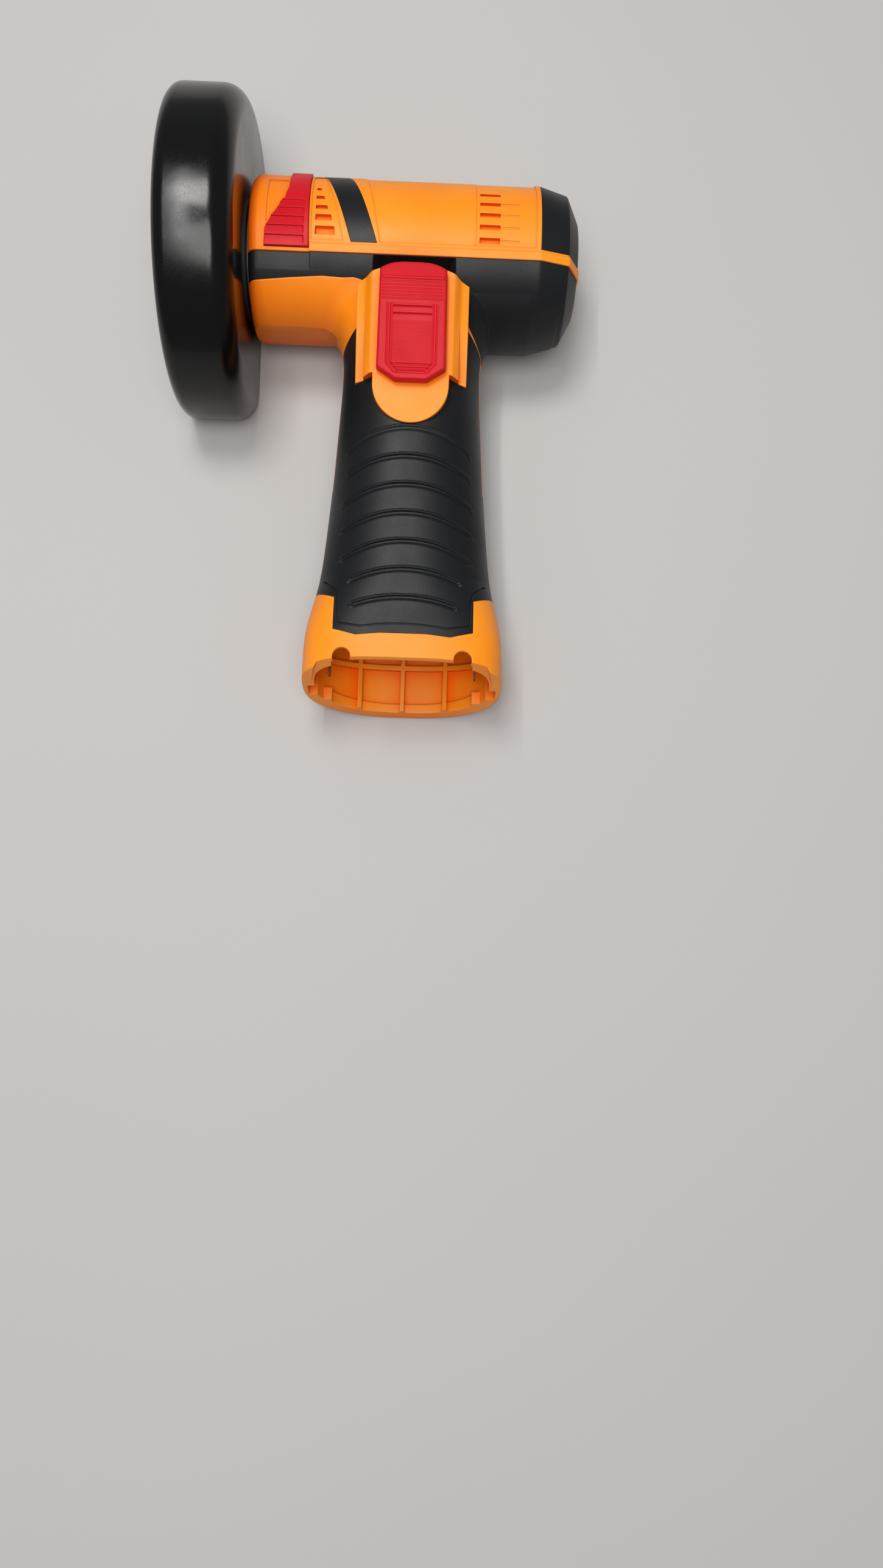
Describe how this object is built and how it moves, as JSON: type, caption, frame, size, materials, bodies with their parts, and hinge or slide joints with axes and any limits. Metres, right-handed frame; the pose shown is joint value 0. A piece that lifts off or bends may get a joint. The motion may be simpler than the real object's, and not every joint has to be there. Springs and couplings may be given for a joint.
{
  "type": "toy cordless angle grinder",
  "caption": "Toy cordless angle grinder: a motor barrel across a ribbed pistol grip, with a round disc guard, a thumb slide switch, a spindle lock and an open battery bay.",
  "frame": {"origin": "centre of the disc seat, on the inner flange's face and the spindle axis", "axes": "+X along the motor axis from the guard to the rear, -Y along the handle to its base, +Z out of the face with the switch; the tool lies on its back"},
  "size_m": [0.1095, 0.1691, 0.0647],
  "materials": {
    "orange_plastic": "satin",
    "soft_black": "matt",
    "red_plastic": "satin",
    "gloss_black": "gloss",
    "grey_plastic": "matt",
    "black_plastic": "matt",
    "steel": "satin",
    "brass": "satin",
    "ivory_plastic": "matt",
    "ferrite": "matt",
    "copper_core": "satin",
    "red_lead": "satin",
    "black_lead": "satin"
  },
  "bodies": {
    "casing": {"front_shell": "orange_plastic", "back_shell": "orange_plastic", "front_handle_grip": "soft_black", "back_handle_grip": "soft_black", "front_barrel_grip": "soft_black", "back_barrel_grip": "soft_black", "front_band": "soft_black", "back_band": "soft_black", "front_rear_pad": "soft_black", "back_rear_pad": "soft_black", "slide_switch": "grey_plastic", "switch_bracket": "grey_plastic", "bracket_screws": "steel", "lock_spring": "steel", "guard_ring": "steel", "guard_screws": "steel", "gear_housing": "grey_plastic", "gear_plate": "grey_plastic", "front_bush": "brass", "rear_bush": "brass", "layshaft": "steel", "motor_can": "steel", "motor_magnets": "ferrite", "motor_bush": "brass", "motor_end_bell": "black_plastic", "motor_brushes": "brass", "motor_screws": "steel", "gearbox_screws": "steel", "housing_screws": "steel", "contact_carrier": "black_plastic", "battery_contacts": "brass", "left_latch_spring": "brass", "right_latch_spring": "brass", "battery_lead": "red_lead", "motor_lead": "red_lead", "return_lead": "black_lead"},
    "spindle": {"spindle": "steel", "spindle_gear": "brass", "inner_flange": "steel", "outer_flange": "steel", "clamp_screw": "steel"},
    "layshaft_gear": {"layshaft_gear": "ivory_plastic"},
    "rotor": {"armature": "copper_core", "motor_shaft": "steel", "commutator": "brass", "motor_pinion": "brass"},
    "switch": {"switch_slider": "red_plastic", "switch_knob": "black_plastic"},
    "lock": {"lock_button": "red_plastic"},
    "guard": {"guard": "gloss_black"}
  },
  "joints": [
    {"name": "spindle_spin", "type": "hinge", "parent": "casing", "child": "spindle", "pos_m": [0, 0, 0], "axis": [1, 0, 0], "continuous": true},
    {"name": "layshaft_spin", "type": "hinge", "parent": "casing", "child": "layshaft_gear", "pos_m": [0.026, 0, -0.008], "axis": [1, 0, 0], "continuous": true},
    {"name": "motor_spin", "type": "hinge", "parent": "casing", "child": "rotor", "pos_m": [0.06, 0, 0], "axis": [1, 0, 0], "continuous": true},
    {"name": "switch_slide", "type": "slide", "parent": "casing", "child": "switch", "axis": [0, 0.9954, 0.0958], "range_m": [0, 0.003]},
    {"name": "lock_press", "type": "slide", "parent": "casing", "child": "lock", "axis": [0, 0, -1], "range_m": [0, 0.002], "stiffness_N_per_m": 100, "springref_m": -0.003, "deforming": ["lock_spring"]},
    {"name": "guard_turn", "type": "hinge", "parent": "casing", "child": "guard", "pos_m": [0, 0, 0], "axis": [1, 0, 0], "range_deg": [-45, 45]}
  ],
  "couplings": [
    {"joint": "layshaft_spin", "follows": "spindle_spin", "ratio": -1.6667},
    {"joint": "motor_spin", "follows": "spindle_spin", "ratio": 3.6667}
  ]
}
